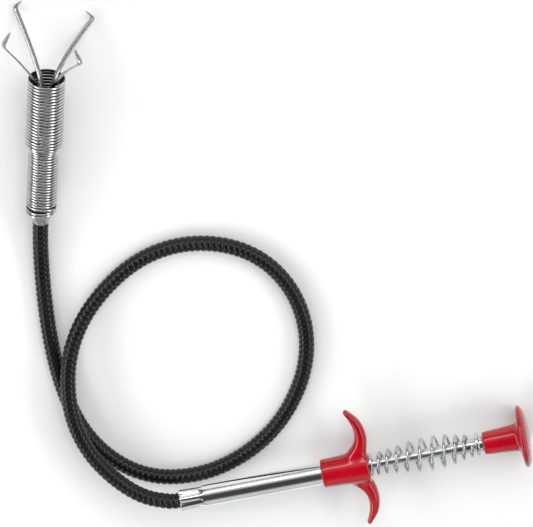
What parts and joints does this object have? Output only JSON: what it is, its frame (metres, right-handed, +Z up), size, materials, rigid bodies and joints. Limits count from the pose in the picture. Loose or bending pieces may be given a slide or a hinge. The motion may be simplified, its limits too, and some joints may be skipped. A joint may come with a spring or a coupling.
{
  "type": "drain auger",
  "caption": "Hand drain claw: thumb plunger and finger grip on a chrome tube, flexible hose, wound spring head with spreading hooked claws.",
  "frame": {"origin": "on the floor the tool lies on, below the middle of its box measured without the hose", "axes": "+X along the handle towards the thumb button, +Y away from the handle towards the spring head, +Z up"},
  "size_m": [0.2308, 0.3106, 0.0483],
  "materials": {
    "red_plastic": "glossy injection-moulded plastic",
    "chrome": "bright chrome plate",
    "spring_steel": "bright drawn spring wire",
    "claw_steel": "bright cold-rolled strip",
    "steel": "plain turned steel",
    "zinc_steel": "dull zinc plate",
    "black_vinyl": "ribbed vinyl sleeve over a wire coil",
    "nylon": "natural nylon"
  },
  "bodies": {
    "root": {"handle_tube": "chrome", "rod_guide_bush": "nylon", "finger_grip": "red_plastic", "front_spring_seat": "steel", "return_spring": "spring_steel", "hose_jacket": "black_vinyl", "hose_spring_core": "spring_steel", "cable_hose": "steel", "hose_end_fitting": "zinc_steel", "claw_housing_spring": "spring_steel"},
    "plunger": {"plunger_rod": "chrome", "rod_stop_collar": "steel", "rear_spring_seat": "steel", "thumb_button": "red_plastic", "cable_handle": "steel"},
    "hub": {"claw_hub": "steel", "cable_head": "steel"},
    "claw1": {"claw_1": "claw_steel"},
    "claw2": {"claw_2": "claw_steel"},
    "claw3": {"claw_3": "claw_steel"},
    "claw4": {"claw_4": "claw_steel"}
  },
  "joints": [
    {"name": "plunger_slide", "type": "slide", "parent": "root", "child": "plunger", "axis": [1, 0, 0], "range_m": [0, 0.014], "stiffness_N_per_m": 250, "springref_m": 0.03, "deforming": ["return_spring"]},
    {"name": "hub_slide", "type": "slide", "parent": "root", "child": "hub", "axis": [0.263, 0.9554, 0.134], "range_m": [-0.014, 0]},
    {"name": "claw_1_hinge", "type": "hinge", "parent": "hub", "child": "claw1", "pos_m": [-0.08424, 0.10807, 0.01584], "axis": [0.6701, -0.2808, 0.6871], "range_deg": [0, 25.6]},
    {"name": "claw_2_hinge", "type": "hinge", "parent": "hub", "child": "claw2", "pos_m": [-0.08829, 0.10921, 0.01564], "axis": [0.7777, -0.1277, -0.6155], "range_deg": [0, 25.6]},
    {"name": "claw_3_hinge", "type": "hinge", "parent": "hub", "child": "claw3", "pos_m": [-0.08896, 0.10877, 0.02009], "axis": [-0.5696, 0.2659, -0.7777], "range_deg": [0, 25.6]},
    {"name": "claw_4_hinge", "type": "hinge", "parent": "hub", "child": "claw4", "pos_m": [-0.08488, 0.10755, 0.02079], "axis": [-0.828, 0.1522, 0.5397], "range_deg": [0, 25.6]}
  ],
  "couplings": [
    {"joint": "hub_slide", "follows": "plunger_slide", "ratio": -1},
    {"joint": "claw_1_hinge", "follows": "plunger_slide", "rad_per_m": 31.765},
    {"joint": "claw_2_hinge", "follows": "plunger_slide", "rad_per_m": 31.765},
    {"joint": "claw_3_hinge", "follows": "plunger_slide", "rad_per_m": 31.765},
    {"joint": "claw_4_hinge", "follows": "plunger_slide", "rad_per_m": 31.765}
  ]
}
